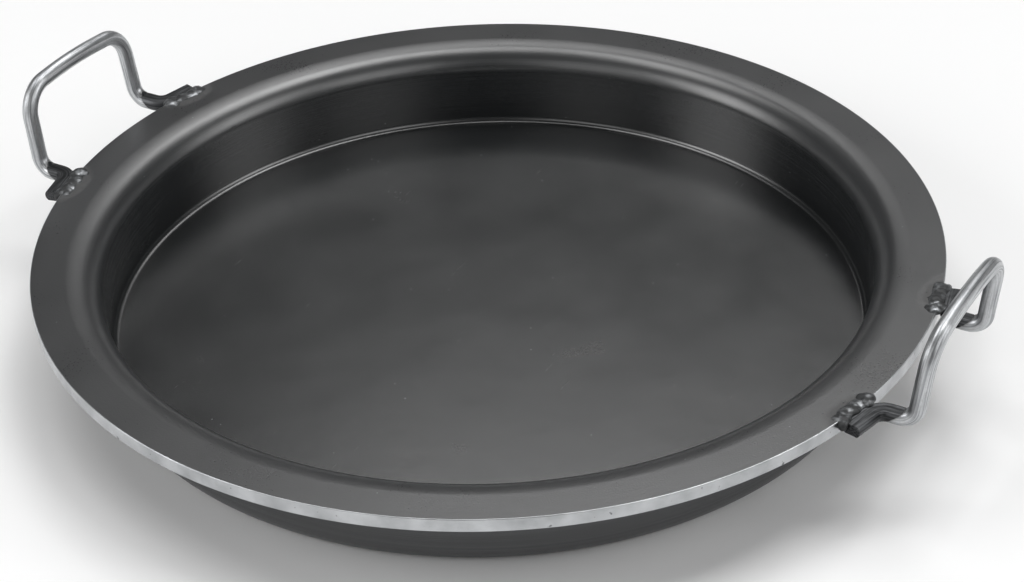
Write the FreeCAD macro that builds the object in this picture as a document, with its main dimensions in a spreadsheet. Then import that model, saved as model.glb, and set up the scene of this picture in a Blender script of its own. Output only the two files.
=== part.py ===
"""Two-handled steel pan: one pressed sheet body, two bent-rod handles and the beads that weld them on.

Millimetres, +Z up. The origin is the centre of the pan's underside, where it stands. The handles lie
across X, the right one towards +X, and "front" is the -Y side.
"""
import FreeCAD, Part
import math
import os

import Sketcher
from FreeCAD import Placement, Rotation, Vector

# ---------------------------------------------------------------- driving dimensions

SIZES = [
    # pan body
    ("rim_radius", 210.0, "outer radius of the flange"),
    ("pan_depth", 46.0, "underside to the flange's top face"),
    ("sheet_gauge", 6.3, "thickness of the sheet"),
    ("flange_width", 31.5, "rim to the lip's unrounded corner"),
    ("wall_flare", 2.0, "how far the wall leans out over its height"),
    ("lip_radius", 13.5, "top face, flange into wall"),
    ("heel_radius", 3.0, "top face, wall into floor"),
    ("rim_break", 0.4, "chamfer on the rim's two edges"),
    # handle hoop
    ("rod_diameter", 7.5, "round rod"),
    ("leg_spacing", 78.0, "between the legs at their feet, centre to centre"),
    ("leg_inset", 1.0, "how far each leg leans in by the grip"),
    ("leg_reach", 18.0, "rim to the legs' centres at their feet"),
    ("leg_lean", 5.0, "how far the grip leans out past the feet"),
    ("handle_rise", 38.8, "foot to grip's corners, centre to centre"),
    ("left_tilt", 1.5, "left grip's front corner above that, and its rear corner below"),
    ("right_tilt", 0.0, "same, right grip"),
    ("grip_bow", 3.0, "how far the grip's middle stands above its corners"),
    ("bow_radius", 260.0, "centreline radius of the grip's bow"),
    ("grip_bend", 15.0, "centreline radius, leg into grip"),
    ("foot_bend", 7.5, "centreline radius, leg into foot"),
    # handle feet
    ("foot_angle", 13.5, "degrees, handle's middle to the tab's tangent point"),
    ("tab_gauge", 5.4, "thickness of the flattened rod"),
    ("tab_width", 9.0, "width of the flattened rod"),
    ("tab_length", 19.0, "turn's corner to the cut end"),
    ("tab_turn", 7.0, "centreline radius, foot into tab"),
    ("root_gap", 0.2, "between the rim and the tab beside it"),
    # weld beads
    ("seam_radius", 3.4, "bead along the top of the rim and the tab"),
    ("seam_length", 9.0, "same bead, between its end centres"),
    ("seam_shift", 1.9, "bead's middle past the tab's middle, towards the cut end"),
    ("seam_sink", 0.6, "bead's middle line below the flange's top"),
    ("tack_radius", 3.8, "lump where the foot turns into the tab"),
    ("toe_radius", 4.0, "lump at the tab's cut end"),
]

SIDES = {"right": 0.0, "left": 180.0}
FEET = {"front": -1.0, "rear": 1.0}
BEAD_TURN = Rotation(Vector(0, 1, 0), 195.0)  # turns a bead's closing line down into the steel
TACK_TURN = Rotation(180.0, 0.0, 90.0)  # stands a ball's poles upright, closing line over the flange

doc = FreeCAD.newDocument("steel_pan")
sheet = doc.addObject("Spreadsheet::Sheet", "sizes")
for row, (alias, value, note) in enumerate(SIZES, start=1):
    sheet.set(f"A{row}", alias)
    sheet.set(f"B{row}", str(value))
    sheet.set(f"C{row}", note)
    sheet.setAlias(f"B{row}", alias)
doc.recompute()


def size(alias):
    """Read one driving dimension back from the sheet."""
    return float(sheet.get(alias))


# ---------------------------------------------------------------- pan body

def origin_feature(body, role):
    """One of a body's own planes or axes."""
    for feature in body.Origin.OriginFeatures:
        if feature.Role == role:
            return feature
    raise ValueError(role)


def pan_section(body):
    """Sketch half of the sheet's section, with sharp corners, in the XZ plane."""
    sketch = body.newObject("Sketcher::SketchObject", "pan_section")
    sketch.AttachmentSupport = [(origin_feature(body, "XZ_Plane"), "")]
    sketch.MapMode = "FlatFace"
    rim = size("rim_radius")
    depth = size("pan_depth")
    gauge = size("sheet_gauge")
    lip = rim - size("flange_width")
    heel = lip - size("wall_flare")
    corners = [
        (0, gauge), (heel, gauge), (lip, depth), (rim, depth),
        (rim, depth - gauge), (lip + gauge, depth - gauge), (heel + gauge, 0), (0, 0),
    ]
    for number, start in enumerate(corners):
        end = corners[(number + 1) % len(corners)]
        sketch.addGeometry(Part.LineSegment(Vector(*start, 0), Vector(*end, 0)), False)
    floor, wall, flange, edge, under_flange, under_wall, under_floor, axis = range(len(corners))
    for number in range(len(corners)):
        following = (number + 1) % len(corners)
        sketch.addConstraint(Sketcher.Constraint("Coincident", number, 2, following, 1))
    for level in (floor, flange, under_flange, under_floor):
        sketch.addConstraint(Sketcher.Constraint("Horizontal", level))
    sketch.addConstraint(Sketcher.Constraint("Vertical", edge))
    sketch.addConstraint(Sketcher.Constraint("Coincident", axis, 1, -1, 1))
    sketch.addConstraint(Sketcher.Constraint("PointOnObject", axis, 2, -2))
    sketch.addConstraint(Sketcher.Constraint("Parallel", wall, under_wall))

    def drive(kind, places, value, formula):
        index = sketch.addConstraint(Sketcher.Constraint(kind, *places, value))
        sketch.setExpression(f"Constraints[{index}]", formula)

    drive("DistanceX", (-1, 1, edge, 1), rim, "sizes.rim_radius")
    drive("DistanceY", (-1, 1, edge, 1), depth, "sizes.pan_depth")
    drive("Distance", (edge,), gauge, "sizes.sheet_gauge")
    drive("Distance", (axis,), gauge, "sizes.sheet_gauge")
    drive("Distance", (flange,), rim - lip, "sizes.flange_width")
    drive("DistanceX", (wall, 1, wall, 2), lip - heel, "sizes.wall_flare")
    drive("Distance", (under_wall, 1, wall), gauge, "sizes.sheet_gauge")
    return sketch


def circle_names(shape, radius, height):
    """Names of the full-circle edges of this radius at this height."""
    names = []
    for number, edge in enumerate(shape.Edges, start=1):
        curve = edge.Curve
        if not isinstance(curve, Part.Circle):
            continue
        if abs(curve.Radius - radius) < 0.01 and abs(curve.Center.z - height) < 0.01:
            names.append(f"Edge{number}")
    if not names:
        raise ValueError(f"no circle of radius {radius:.2f} at {height:.2f}")
    return names


def dress(body, kind, name, names, prop, formula):
    """Add a fillet or chamfer to named edges of a body's tip."""
    base = body.Tip
    feature = body.newObject(kind, name)
    feature.Base = (base, names)
    feature.setExpression(prop, formula)
    doc.recompute()
    return feature


def build_pan():
    """Revolve the section and round its corners, so that the sheet keeps one thickness."""
    body = doc.addObject("PartDesign::Body", "pan_body")
    sketch = pan_section(body)
    doc.recompute()
    turned = body.newObject("PartDesign::Revolution", "pan_turned")
    turned.Profile = sketch
    turned.ReferenceAxis = (sketch, ["V_Axis"])
    turned.Angle = 360.0
    sketch.Visibility = False
    doc.recompute()

    rim = size("rim_radius")
    depth = size("pan_depth")
    gauge = size("sheet_gauge")
    lip = rim - size("flange_width")
    heel = lip - size("wall_flare")
    slope = (lip - heel) / (depth - gauge)
    offset = gauge * math.sqrt(1.0 + slope * slope)
    under_lip = lip - slope * gauge + offset
    under_heel = heel - slope * gauge + offset
    rounds = [
        ("lip_top", lip, depth, "sizes.lip_radius"),
        ("lip_under", under_lip, depth - gauge, "sizes.lip_radius - sizes.sheet_gauge"),
        ("heel_top", heel, gauge, "sizes.heel_radius"),
        ("heel_under", under_heel, 0.0, "sizes.heel_radius + sizes.sheet_gauge"),
    ]
    for name, radius, height, formula in rounds:
        names = circle_names(body.Tip.Shape, radius, height)
        dress(body, "PartDesign::Fillet", name, names, "Radius", formula)
    rim_edges = circle_names(body.Tip.Shape, rim, depth) + circle_names(body.Tip.Shape, rim, depth - gauge)
    dress(body, "PartDesign::Chamfer", "rim_edges", rim_edges, "Size", "sizes.rim_break")
    return body


# ---------------------------------------------------------------- handles

def rounded_path(points, radii):
    """Join points with straight runs, and each inner point with a tangent arc of its own radius."""
    edges = []
    start = points[0]
    for before, corner, after, radius in zip(points, points[1:], points[2:], radii):
        arrive = (corner - before).normalize()
        leave = (after - corner).normalize()
        half_turn = arrive.getAngle(leave) / 2.0
        trim = radius * math.tan(half_turn)
        first = corner - arrive * trim
        last = corner + leave * trim
        inward = (leave - arrive).normalize()
        middle = corner + inward * (radius / math.cos(half_turn) - radius)
        edges.append(Part.LineSegment(start, first).toShape())
        edges.append(Part.Arc(first, middle, last).toShape())
        start = last
    edges.append(Part.LineSegment(start, points[-1]).toShape())
    return Part.Wire(edges)


def swept(path, section, upright):
    """Sweep a closed section along a path; an upright sweep keeps its section level."""
    maker = Part.BRepOffsetAPI.MakePipeShell(path)
    if upright:
        maker.setBiNormalMode(Vector(0, 0, 1))
    maker.add(section)
    maker.build()
    maker.makeSolid()
    return maker.shape()


def round_section(centre, direction, diameter):
    """A circle of the rod, square to the path."""
    return Part.Wire(Part.Circle(centre, direction, diameter / 2.0).toShape())


def flat_section(centre, direction, width, gauge):
    """The pressed rod: two flats joined by half-round sides, square to the path."""
    across = direction.cross(Vector(0, 0, 1)).normalize()
    up = Vector(0, 0, 1)
    flat = (width - gauge) / 2.0
    half = gauge / 2.0
    right_top = centre + across * flat + up * half
    right_low = centre + across * flat - up * half
    left_top = centre - across * flat + up * half
    left_low = centre - across * flat - up * half
    return Part.Wire([
        Part.LineSegment(left_top, right_top).toShape(),
        Part.Arc(right_top, centre + across * (flat + half), right_low).toShape(),
        Part.LineSegment(right_low, left_low).toShape(),
        Part.Arc(left_low, centre - across * (flat + half), left_top).toShape(),
    ])


def foot_points(foot):
    """Leg's foot, turn's corner and tab's end of one foot, on the tab's middle level, handle along +X."""
    level = size("pan_depth") - size("sheet_gauge") / 2.0
    side = size("leg_spacing") / 2.0
    angle = math.radians(size("foot_angle"))
    tab_radius = size("rim_radius") + size("root_gap") + size("tab_width") / 2.0
    along = Vector(-math.sin(angle), math.cos(angle), 0)
    tangent_point = Vector(math.cos(angle), math.sin(angle), 0) * tab_radius
    corner = tangent_point + along * ((side - tangent_point.y) / along.y)
    end = corner + along * size("tab_length")
    leg = Vector(size("rim_radius") + size("leg_reach"), side, 0)
    return [Vector(p.x, p.y * foot, level) for p in (leg, corner, end)]


def handle_shape(rear_lift):
    """The round hoop and its two pressed feet, in one solid, handle along +X.

    rear_lift raises the grip's +Y corner and lowers the other by as much.
    """
    rod = size("rod_diameter")
    legs = {}
    solids = []
    for foot in FEET.values():
        leg, corner, end = foot_points(foot)
        legs[foot] = leg
        inward = (corner - leg).normalize()
        press_start = leg + inward * size("foot_bend")
        path = rounded_path([press_start, corner, end], [size("tab_turn")])
        section = flat_section(press_start, inward, size("tab_width"), size("tab_gauge"))
        solids.append(swept(path, section, upright=True))
    tops = {
        foot: legs[foot] + Vector(
            size("leg_lean"),
            -foot * size("leg_inset"),
            size("handle_rise") + foot * rear_lift,
        )
        for foot in legs
    }
    overlap = size("foot_bend") + rod / 2.0
    starts = {foot: legs[foot] - Vector(overlap, 0, 0) for foot in legs}
    rear, front = FEET["rear"], FEET["front"]
    crown = (tops[rear] + tops[front]) * 0.5 + Vector(0, 0, size("grip_bow"))
    hoop = [starts[rear], legs[rear], tops[rear], crown, tops[front], legs[front], starts[front]]
    foot_bend, grip_bend = size("foot_bend"), size("grip_bend")
    path = rounded_path(hoop, [foot_bend, grip_bend, size("bow_radius"), grip_bend, foot_bend])
    section = round_section(starts[rear], Vector(1, 0, 0), rod)
    round_rod = swept(path, section, upright=False)
    return round_rod.multiFuse(solids).removeSplitter()


def build_handle(side):
    """One handle, turned to its side of the pan."""
    handle = doc.addObject("Part::Feature", f"handle_{side}")
    facing = math.cos(math.radians(SIDES[side]))
    handle.Shape = handle_shape(-facing * size(f"{side}_tilt"))
    handle.Placement = Placement(Vector(0, 0, 0), Rotation(Vector(0, 0, 1), SIDES[side]))
    return handle


# ---------------------------------------------------------------- weld beads

def foot_frame(side, lateral):
    """Placement of a foot's seam: origin on the rim's top edge where the tab runs beside it, X outwards."""
    angle = SIDES[side] + lateral * size("foot_angle")
    turn = Rotation(Vector(0, 0, 1), angle)
    return Placement(turn.multVec(Vector(size("rim_radius"), 0, size("pan_depth"))), turn)


def tab_ends(lateral):
    """Where a foot's tab starts and ends, along its own frame's Y."""
    frame = foot_frame("right", lateral)
    _, corner, end = foot_points(lateral)
    return frame.inverse().multVec(corner).y, frame.inverse().multVec(end).y


def astride_gap(along, inset, drop=0.0):
    """Point in a foot's frame: that far along the tab, midway to the rim there, then in and down."""
    rim = size("rim_radius")
    fall_back = rim - math.sqrt(rim * rim - along * along)
    return Vector(-fall_back / 2.0 - inset, along, -drop)


def bead_metal(name, frame, place, radius_cell, length_cell=None, turn=BEAD_TURN):
    """Weld metal before it is cut: a bead turned about the frame's Y, round-ended, or a plain ball.

    The outline is half of the bead's section. A bead has a straight run between its two round ends.
    """
    body = doc.addObject("PartDesign::Body", f"{name}_metal")
    sketch = body.newObject("Sketcher::SketchObject", f"{name}_outline")
    sketch.AttachmentSupport = [(origin_feature(body, "XY_Plane"), "")]
    sketch.MapMode = "FlatFace"
    radius = size(radius_cell)
    half_run = size(length_cell) / 2.0 if length_cell else 0.0
    foot_end, head_end = Vector(0, -half_run - radius, 0), Vector(0, half_run + radius, 0)
    centre, across = Vector(0, 0, 0), Vector(0, 0, 1)
    run = Vector(0, half_run, 0)
    if length_cell:
        low = Part.ArcOfCircle(Part.Circle(centre - run, across, radius), -math.pi / 2, 0)
        high = Part.ArcOfCircle(Part.Circle(centre + run, across, radius), 0, math.pi / 2)
        side = Part.LineSegment(Vector(radius, -half_run, 0), Vector(radius, half_run, 0))
        low_arc, straight, high_arc, axis = sketch.addGeometry(
            [low, side, high, Part.LineSegment(head_end, foot_end)], False)
        joints = [(low_arc, 2, straight, 1), (straight, 2, high_arc, 1)]
        sketch.addConstraint([Sketcher.Constraint("Tangent", *joint) for joint in joints])
        sketch.addConstraint(Sketcher.Constraint("Equal", low_arc, high_arc))
        sketch.addConstraint(Sketcher.Constraint("PointOnObject", low_arc, 3, -2))
        sketch.addConstraint(Sketcher.Constraint("Symmetric", low_arc, 3, high_arc, 3, -1, 1))
        index = sketch.addConstraint(Sketcher.Constraint("Distance", straight, 2.0 * half_run))
        sketch.setExpression(f"Constraints[{index}]", f"sizes.{length_cell}")
    else:
        arc = Part.ArcOfCircle(Part.Circle(centre, across, radius), -math.pi / 2, math.pi / 2)
        low_arc, axis = sketch.addGeometry([arc, Part.LineSegment(head_end, foot_end)], False)
        high_arc = low_arc
        sketch.addConstraint(Sketcher.Constraint("Coincident", low_arc, 3, -1, 1))
    sketch.addConstraint(Sketcher.Constraint("Coincident", high_arc, 2, axis, 1))
    sketch.addConstraint(Sketcher.Constraint("Coincident", axis, 2, low_arc, 1))
    sketch.addConstraint(Sketcher.Constraint("PointOnObject", axis, 1, -2))
    sketch.addConstraint(Sketcher.Constraint("PointOnObject", axis, 2, -2))
    index = sketch.addConstraint(Sketcher.Constraint("Radius", low_arc, radius))
    sketch.setExpression(f"Constraints[{index}]", f"sizes.{radius_cell}")
    doc.recompute()
    turned = body.newObject("PartDesign::Revolution", f"{name}_turned")
    turned.Profile = sketch
    turned.ReferenceAxis = (sketch, ["V_Axis"])
    turned.Angle = 360.0
    doc.recompute()
    body.Placement = frame.multiply(Placement(place, turn))
    return body


def seated(name, metal, tools):
    """Cut each tool out of the weld metal, so that it meets them face to face."""
    for tool in tools:
        last = tool is tools[-1]
        cut = doc.addObject("Part::Cut", name if last else f"{name}_clear_of_{tool.Name}")
        cut.Base = metal
        cut.Tool = tool
        metal = cut
    return metal


def build_welds(side, pan, handle):
    """Three runs of weld at each of a handle's feet."""
    facing = math.cos(math.radians(SIDES[side]))
    welds = []
    for foot_name, toward in FEET.items():
        lateral = toward * facing
        frame = foot_frame(side, lateral)
        stem = f"weld_{side}_{foot_name}"
        start, end = tab_ends(lateral)
        middle = (start + end) / 2.0 + lateral * size("seam_shift")
        toe = size("toe_radius")
        seam_place = astride_gap(middle, 0.0, size("seam_sink"))
        toe_place = astride_gap(end - lateral * toe / 4.0, -toe / 5.0, toe / 3.0)
        tack_place = astride_gap(start, size("tack_radius") / 4.0)
        seam_metal = bead_metal(f"{stem}_seam", frame, seam_place, "seam_radius", "seam_length")
        seam = seated(f"{stem}_seam", seam_metal, [pan, handle])
        tack_metal = bead_metal(f"{stem}_tack", frame, tack_place, "tack_radius", turn=TACK_TURN)
        tack = seated(f"{stem}_tack", tack_metal, [pan, handle, seam])
        toe_metal = bead_metal(f"{stem}_toe", frame, toe_place, "toe_radius")
        toe_lump = seated(f"{stem}_toe", toe_metal, [pan, handle, seam])
        welds.extend([seam, tack, toe_lump])
    return welds


# ---------------------------------------------------------------- build, check and write

def check(subparts):
    """Stop on any failed object and on any sub-part that is empty, broken or in pieces."""
    for item in doc.Objects:
        if "Invalid" in item.State or "Error" in item.State:
            raise RuntimeError(f"{item.Label}: {item.State}")
    for part in subparts:
        shape = part.Shape
        if shape.isNull() or not shape.isValid() or len(shape.Solids) != 1:
            raise RuntimeError(f"{part.Label}: not one valid solid ({len(shape.Solids)})")


pan_body = build_pan()
subparts = [pan_body]
for side_name in SIDES:
    side_handle = build_handle(side_name)
    subparts.append(side_handle)
    subparts.extend(build_welds(side_name, pan_body, side_handle))
doc.recompute()
check(subparts)

os.makedirs("parts", exist_ok=True)
for part in subparts:
    part.Shape.exportStep(f"parts/{part.Label}.step")
    box = part.Shape.BoundBox
    print(f"{part.Label:24s} {part.Shape.Volume:12.1f} mm3, up to z {box.ZMax:5.1f}")
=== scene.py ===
"""A shallow round pan of heavy black sheet, with two bent rod handles welded to its rim.

The sheet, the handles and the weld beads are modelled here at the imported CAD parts' places and
stand in for them. Sizes in the dataclasses are in millimetres, because the pan is made to
millimetres, and everything that goes into a mesh or a material is in metres. The studio's own
sizes are in metres. Angles are in degrees, but for those whose names say radians.
"""

import logging
import math
import random
from dataclasses import dataclass
from enum import Enum

import bmesh
import bpy
from mathutils import Matrix, Quaternion, Vector, noise


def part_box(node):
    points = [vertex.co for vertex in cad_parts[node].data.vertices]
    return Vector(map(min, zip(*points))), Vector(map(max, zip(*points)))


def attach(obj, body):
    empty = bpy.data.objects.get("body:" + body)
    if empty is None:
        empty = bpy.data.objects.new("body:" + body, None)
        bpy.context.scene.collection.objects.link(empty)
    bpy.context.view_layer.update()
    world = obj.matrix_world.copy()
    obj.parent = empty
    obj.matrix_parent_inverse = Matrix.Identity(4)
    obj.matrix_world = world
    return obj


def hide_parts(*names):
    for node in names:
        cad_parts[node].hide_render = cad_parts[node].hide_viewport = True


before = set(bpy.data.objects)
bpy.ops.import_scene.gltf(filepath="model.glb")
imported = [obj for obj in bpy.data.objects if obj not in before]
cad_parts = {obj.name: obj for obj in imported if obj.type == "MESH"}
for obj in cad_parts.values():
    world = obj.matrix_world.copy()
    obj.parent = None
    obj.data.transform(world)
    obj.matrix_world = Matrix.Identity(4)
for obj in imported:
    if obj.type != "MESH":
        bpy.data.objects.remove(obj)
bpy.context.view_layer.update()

MM = 0.001
TOUCHING = 0.01 * MM
FIRST_SEED = 10
UP = Vector((0.0, 0.0, 1.0))
BODY = "root"
LOG = logging.getLogger("pan")


class Side(Enum):
    """The pan's two handles, by the turn from +X to each."""

    RIGHT = 0.0
    LEFT = 180.0


class Foot(Enum):
    """A handle's two feet, by their side of the handle in the pan's frame."""

    FRONT = -1.0
    REAR = 1.0


class Slot(Enum):
    """The record's material slots."""

    SHEET = "black_sheet"
    ROD = "bright_rod"
    WELD = "weld_metal"


# ---------------------------------------------------------------- small helpers

def linear(hex_colour: str) -> tuple[float, float, float, float]:
    """Turn an sRGB hex colour into linear red, green, blue and full alpha.

    Args:
        hex_colour: six hex digits, such as "8a8c8e".

    Returns:
        The colour as Blender's colour sockets take it.
    """
    channels = [int(hex_colour[place:place + 2], 16) / 255.0 for place in (0, 2, 4)]
    red, green, blue = [
        value / 12.92 if value <= 0.04045 else ((value + 0.055) / 1.055) ** 2.4
        for value in channels
    ]
    return (red, green, blue, 1.0)


def per_metre(size_mm: float) -> float:
    """Pattern scale that gives features of this size in millimetres on metre coordinates."""
    return 1.0 / (size_mm * MM)


class Recipe:
    """The node tree of one material or world while it is put together."""

    def __init__(self, owner: bpy.types.Material | bpy.types.World) -> None:
        """Start with an empty tree.

        Args:
            owner: the material or world that the tree belongs to.
        """
        self.owner = owner
        owner.use_nodes = True
        owner.node_tree.nodes.clear()

    def add(
        self, kind: str, inputs: dict, out: int | str = 0, **settings: object
    ) -> bpy.types.NodeSocket | None:
        """Add a node with its settings and links.

        Args:
            kind: the node's type, without its ShaderNode prefix.
            inputs: socket name or number to a value, or to the output socket that feeds it.
            out: name or number of the output that is wanted.
            settings: the node's own properties.

        Returns:
            That output socket, or nothing from a node that has none.
        """
        tree = self.owner.node_tree
        made = tree.nodes.new(f"ShaderNode{kind}")
        for name, value in settings.items():
            setattr(made, name, value)
        for key, value in inputs.items():
            if isinstance(value, bpy.types.NodeSocket):
                tree.links.new(value, made.inputs[key])
            else:
                made.inputs[key].default_value = value
        return made.outputs[out] if made.outputs else None


def place_piece(mesh_name: str, shape: bmesh.types.BMesh, materials: list) -> bpy.types.Object:
    """Turn a finished bmesh into an object at the origin that rides on the pan's one body.

    Args:
        mesh_name: name of the piece.
        shape: the bmesh, which is freed.
        materials: its materials in slot order.

    Returns:
        The new object.
    """
    mesh = bpy.data.meshes.new(mesh_name)
    shape.to_mesh(mesh)
    shape.free()
    piece = bpy.data.objects.new(mesh_name, mesh)
    bpy.context.scene.collection.objects.link(piece)
    for material in materials:
        mesh.materials.append(material)
    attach(piece, BODY)
    return piece


def round_corner(shape: bmesh.types.BMesh, corner: bmesh.types.BMVert, trim: float, steps: int) -> None:
    """Round one corner of an open outline.

    Args:
        shape: the bmesh that holds the outline.
        corner: the corner's vertex.
        trim: how far from the corner the round starts, along each side.
        steps: straight steps in the round.
    """
    bmesh.ops.bevel(
        shape,
        geom=[corner],
        offset=trim,
        offset_type="OFFSET",
        affect="VERTICES",
        segments=steps,
        profile=0.5,
        material=-1,
    )


def spin_outline(shape: bmesh.types.BMesh, steps: int, touching: float) -> None:
    """Spin an outline once round the pan's axis and close it where its points meet.

    Args:
        shape: the bmesh that holds the outline.
        steps: steps in the full turn.
        touching: points nearer than this become one.
    """
    bmesh.ops.spin(
        shape,
        geom=shape.verts[:] + shape.edges[:],
        cent=(0.0, 0.0, 0.0),
        axis=UP,
        dvec=(0.0, 0.0, 0.0),
        angle=math.tau,
        steps=steps,
        use_merge=True,
    )
    bmesh.ops.remove_doubles(shape, verts=shape.verts, dist=touching)


def outward(azimuth: float, elevation: float) -> Vector:
    """Direction from the pan towards a place in the studio.

    Args:
        azimuth: turn from the pan's front, in degrees, towards its right.
        elevation: rise above the floor, in degrees.

    Returns:
        A vector of length 1.
    """
    turn, rise = math.radians(azimuth), math.radians(elevation)
    return Vector((math.sin(turn) * math.cos(rise), -math.cos(turn) * math.cos(rise), math.sin(rise)))


def smooth_but_creases(shape: bmesh.types.BMesh, crease_angle: float) -> None:
    """Shade every face smooth and keep edges sharper than an angle crisp.

    Args:
        shape: the bmesh to shade.
        crease_angle: turn between two faces, in radians, past which their edge stays crisp.
    """
    for face in shape.faces:
        face.smooth = True
    for edge in shape.edges:
        edge.smooth = len(edge.link_faces) != 2 or edge.calc_face_angle() < crease_angle


# ---------------------------------------------------------------- finishes

@dataclass(frozen=True)
class MillScale:
    """Hot-rolled carbon steel under its own blue-black scale, spun and lightly oiled.

    The eye gets a near-black satin skin that mirrors light softly, a sandy grain on the flange,
    faint rings from spinning, grey rubs where the sheet was worked, and soot round the welds with
    painted shade where they meet the flange.
    The sand grain is really about 0.2 mm and the scratches and rings finer than given here: all
    three are drawn as coarse as they need to be to show at the pan's full width.
    """

    name: str = "black_mill_scale_spun"
    skin: str = "131516"
    cloud: str = "17191a"
    sand: str = "2a2b2c"
    rub: str = "6e7073"
    # Soot round the welds, and painted shade where they meet the flange.
    soot_and_shade: str = "0c0c0d"
    speck: str = "9a9c9e"
    ior: float = 1.95
    roughness: float = 0.24
    cloud_roughness: float = 0.1
    grain_mm: float = 0.9
    ring_mm: float = 1.3
    ring_run_mm: float = 70.0
    cloud_mm: float = 38.0
    rub_mm: float = 5.4
    rub_inside: float = 0.4
    speck_mm: float = 11.0
    speck_size: float = 0.028
    speck_strength: float = 0.5
    halo_mm: float = 9.5
    halo_fade: float = 1.4
    halo_slim: float = 0.6
    halo_ragged_mm: float = 5.0
    halo_strength: float = 0.9
    scratch_mm: float = 1.1
    scratch_run_mm: float = 30.0
    scratch_turn_radians: float = 0.9
    scratch_strength: float = 0.3
    roll_mm: float = 3.0
    grain_roughness_floor: float = 0.02
    grain_roughness_flange: float = 0.14
    rub_roughness: float = 0.12
    soot_and_shade_roughness: float = 0.36
    scratch_roughness: float = 0.1
    roll_roughness: float = 0.08
    swell_depth_mm: float = 0.06
    ring_depth_mm: float = 0.012
    sand_depth_mm: float = 0.045
    sand_on_floor: float = 0.25

    def build(self, sheet: "PanSheet") -> bpy.types.Material:
        """Make the material for one sheet.

        Args:
            sheet: the pan's sheet, for the places of its flange, wall and feet.

        Returns:
            The material.
        """
        material = bpy.data.materials.new(self.name)
        r = Recipe(material)
        place = r.add("TexCoord", {}, out="Object")
        x, y, z = r.add("SeparateXYZ", {0: place}).node.outputs
        level = r.add("CombineXYZ", {0: x, 1: y})
        radius = r.add("VectorMath", {0: level}, out="Value", operation="LENGTH")
        flange = r.add("MapRange", {
            "Value": radius, "From Min": sheet.lip_start, "From Max": sheet.flange_start,
        }, interpolation_type="SMOOTHSTEP")

        # Coordinates that run along the spinning marks: short round the pan, full across the marks.
        heading = r.add("VectorMath", {0: level}, operation="NORMALIZE")
        shrink = sheet.rim * self.ring_mm / self.ring_run_mm
        around = r.add("VectorMath", {0: heading, "Scale": shrink}, operation="SCALE")
        ring_way = r.add("VectorMath", {0: around, 1: r.add("CombineXYZ", {2: radius})}, operation="ADD")
        ring_height = r.add("Math", {0: z, 1: per_metre(self.ring_mm)}, operation="MULTIPLY")
        rings = r.add("TexNoise", {
            "Vector": ring_way, "W": ring_height, "Scale": per_metre(self.ring_mm), "Detail": 3.0,
        }, noise_dimensions="4D")
        grain = r.add("TexNoise", {"Vector": place, "Scale": per_metre(self.grain_mm), "Detail": 2.0})
        clouds = r.add("TexNoise", {"Vector": place, "Scale": per_metre(self.cloud_mm), "Detail": 3.0})

        # Grey rubs on the lip and, more of them, on the outer wall.
        rub_height = r.add("Math", {0: z, 1: per_metre(self.rub_mm)}, operation="MULTIPLY")
        rubs = r.add("TexNoise", {
            "Vector": ring_way, "W": rub_height, "Scale": per_metre(self.rub_mm),
            "Detail": 5.0, "Roughness": 0.62,
        }, noise_dimensions="4D")
        worked = r.add("MapRange", {"Value": rubs, "From Min": 0.48, "From Max": 0.68})
        wall = r.add("MapRange", {"Value": radius, "From Min": sheet.heel, "From Max": sheet.lip_start})
        outer = r.add("MapRange", {
            "Value": radius, "From Min": sheet.lip, "From Max": sheet.lip + sheet.gauge,
        })
        below = r.add("MapRange", {
            "Value": z,
            "From Min": sheet.top - sheet.gauge / 2.0, "From Max": sheet.top - sheet.gauge * 1.5,
        })
        outside = r.add("Math", {0: outer, 1: below}, operation="MULTIPLY")
        inside = r.add("Math", {0: wall, 1: flange}, operation="SUBTRACT", use_clamp=True)
        reach = r.add(
            "Math", {0: inside, 1: self.rub_inside, 2: outside}, operation="MULTIPLY_ADD", use_clamp=True
        )
        rubbed = r.add("Math", {0: reach, 1: worked}, operation="MULTIPLY")

        # Soot round each foot's weld, with painted shade where the weld meets the flange, ragged at
        # its edge. The four feet lie alike in each quarter.
        quarter = r.add("VectorMath", {0: level}, operation="ABSOLUTE")
        from_foot = r.add("VectorMath", {0: quarter, 1: sheet.foot_place}, operation="SUBTRACT")
        squared = r.add("Mapping", {
            "Vector": from_foot, "Rotation": (0.0, 0.0, -math.radians(sheet.foot_angle)),
        })
        oval = r.add("VectorMath", {0: squared, 1: (1.0, self.halo_slim, 0.0)}, operation="MULTIPLY")
        away = r.add("VectorMath", {0: oval}, out="Value", operation="LENGTH")
        wisps = r.add("TexNoise", {"Vector": place, "Scale": per_metre(self.halo_ragged_mm)})
        ragged = r.add("Math", {0: wisps, 1: self.halo_ragged_mm * MM, 2: away}, operation="MULTIPLY_ADD")
        sooted_and_shaded = r.add("MapRange", {
            "Value": ragged,
            "From Min": self.halo_mm * MM * self.halo_fade, "From Max": self.halo_mm * MM,
            "To Max": self.halo_strength,
        })

        # Fine scratches, a few at a time, and lone bright specks of scale knocked off.
        slant = r.add("Mapping", {
            "Vector": place, "Rotation": (0.0, 0.0, self.scratch_turn_radians),
            "Scale": (1.0, self.scratch_mm / self.scratch_run_mm, 1.0),
        })
        hairs = r.add("TexNoise", {
            "Vector": slant, "Scale": per_metre(self.scratch_mm), "Detail": 4.0, "Roughness": 0.7,
        })
        scratched = r.add("MapRange", {
            "Value": hairs, "From Min": 0.68, "From Max": 0.76, "To Max": self.scratch_strength,
        })
        spread = r.add("TexVoronoi", {"Vector": place, "Scale": per_metre(self.speck_mm)}, out="Distance")
        specks = r.add("Math", {0: spread, 1: self.speck_size}, operation="LESS_THAN")
        marks = r.add("Math", {0: specks, 1: self.speck_strength}, operation="MULTIPLY")

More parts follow.
